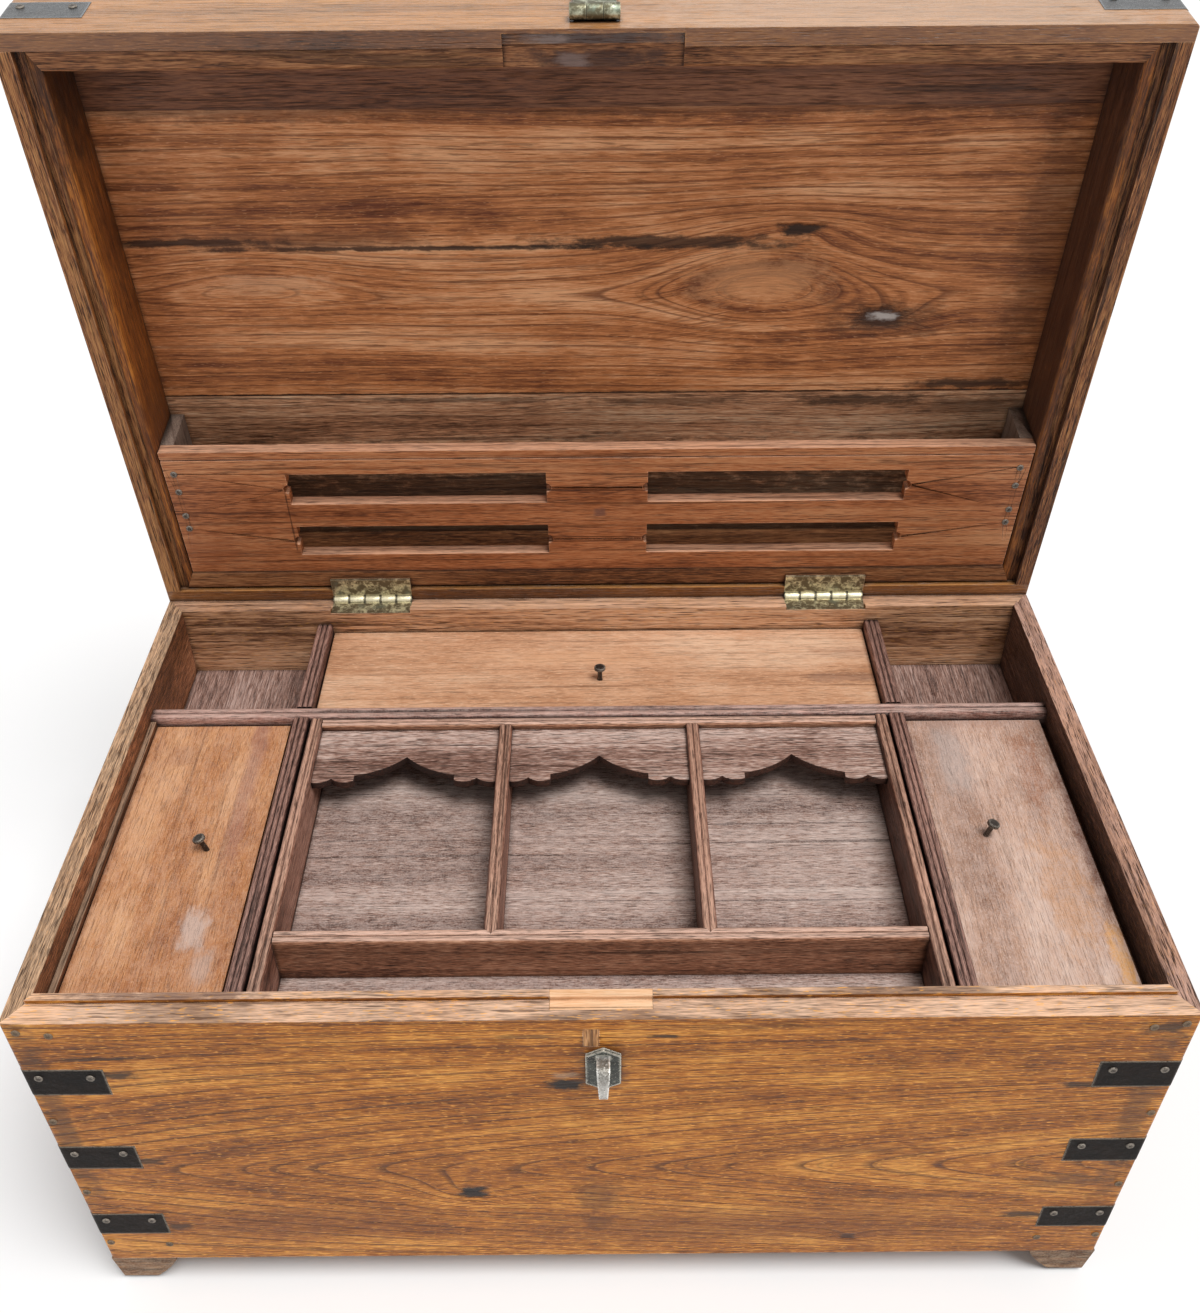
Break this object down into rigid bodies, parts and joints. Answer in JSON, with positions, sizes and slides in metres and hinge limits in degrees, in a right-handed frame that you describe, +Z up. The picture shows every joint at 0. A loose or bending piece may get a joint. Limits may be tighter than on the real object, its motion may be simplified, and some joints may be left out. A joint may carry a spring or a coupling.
{
  "type": "dowry chest",
  "caption": "Small wooden chest with iron corner straps, a hinged lid with a slotted pocket, lift-off till covers and a lift-out tray with arched boards",
  "frame": {"origin": "centre of the base, on the plane the feet stand on", "axes": "+Z up, front towards -Y, +X to the right seen from the front; lid open and resting back"},
  "size_m": [0.6924, 0.5057, 0.7343],
  "materials": {
    "case_wood": "oiled teak, worn",
    "patch_wood": "newer pale wood, dull",
    "divider_wood": "rubbed reddish brown wood",
    "floor_wood": "dusty unfinished wood",
    "cover_wood": "oiled wood, rubbed",
    "lid_wood": "oiled wood with dark figure",
    "iron": "blackened wrought iron, rusted",
    "brass": "aged brass with patina"
  },
  "bodies": {
    "case": {"front_board": "case_wood", "back_board": "case_wood", "left_board": "case_wood", "right_board": "case_wood", "bottom_board": "case_wood", "bracket_feet": "case_wood", "rim_patch": "patch_wood", "front_plug": "patch_wood", "cross_divider": "divider_wood", "left_divider": "divider_wood", "right_divider": "divider_wood", "back_till_dividers": "divider_wood", "left_till_floor": "floor_wood", "right_till_floor": "floor_wood", "back_till_floor": "floor_wood", "till_bearers": "case_wood", "tray_rests": "case_wood", "cover_rests": "case_wood", "left_till_liner": "case_wood", "staple_plate": "brass", "lock_staple": "brass", "case_straps": "iron", "case_strap_nails": "iron", "board_nails": "iron", "case_hinge_leaves": "brass", "case_hinge_screws": "brass", "hinge_pins": "brass"},
    "lid": {"lid_main_plank": "lid_wood", "lid_front_plank": "lid_wood", "lid_back_plank": "lid_wood", "lid_front_rail": "lid_wood", "lid_back_rail": "lid_wood", "lid_left_rail": "lid_wood", "lid_right_rail": "lid_wood", "lid_long_liners": "lid_wood", "lid_end_liners": "lid_wood", "pocket_panel": "lid_wood", "pocket_cheeks": "lid_wood", "pocket_nails": "iron", "lid_hinge_leaves": "brass", "lid_hinge_screws": "brass", "lid_straps": "iron", "lid_strap_nails": "iron", "hasp_leaf": "brass", "hasp_pin": "brass"},
    "hasp": {"hasp": "brass"},
    "tray": {"tray_left_wall": "divider_wood", "tray_right_wall": "divider_wood", "tray_back_wall": "divider_wood", "tray_front_wall": "divider_wood", "tray_bottom": "floor_wood", "tray_cross_rail": "divider_wood", "tray_dividers": "divider_wood", "arch_boards": "divider_wood"},
    "left_cover": {"left_cover": "cover_wood", "left_cover_nail": "iron"},
    "right_cover": {"right_cover": "cover_wood", "right_cover_nail": "iron"},
    "back_cover": {"back_cover": "cover_wood", "back_cover_nail": "iron"}
  },
  "joints": [
    {"name": "lid_hinge", "type": "hinge", "parent": "case", "child": "lid", "pos_m": [0, 0.21125, 0.2952], "axis": [-1, 0, 0], "range_deg": [-83, 0]},
    {"name": "hasp_hinge", "type": "hinge", "parent": "lid", "child": "hasp", "pos_m": [0.001, 0.17148, 0.72334], "axis": [1, 0, 0], "range_deg": [0, 180]},
    {"name": "tray_lift", "type": "slide", "parent": "case", "child": "tray", "axis": [0, 0, 1], "range_m": [0, 0.15]},
    {"name": "left_cover_lift", "type": "slide", "parent": "case", "child": "left_cover", "axis": [0, 0, 1], "range_m": [0, 0.1]},
    {"name": "right_cover_lift", "type": "slide", "parent": "case", "child": "right_cover", "axis": [0, 0, 1], "range_m": [0, 0.1]},
    {"name": "back_cover_lift", "type": "slide", "parent": "case", "child": "back_cover", "axis": [0, 0, 1], "range_m": [0, 0.1]}
  ]
}
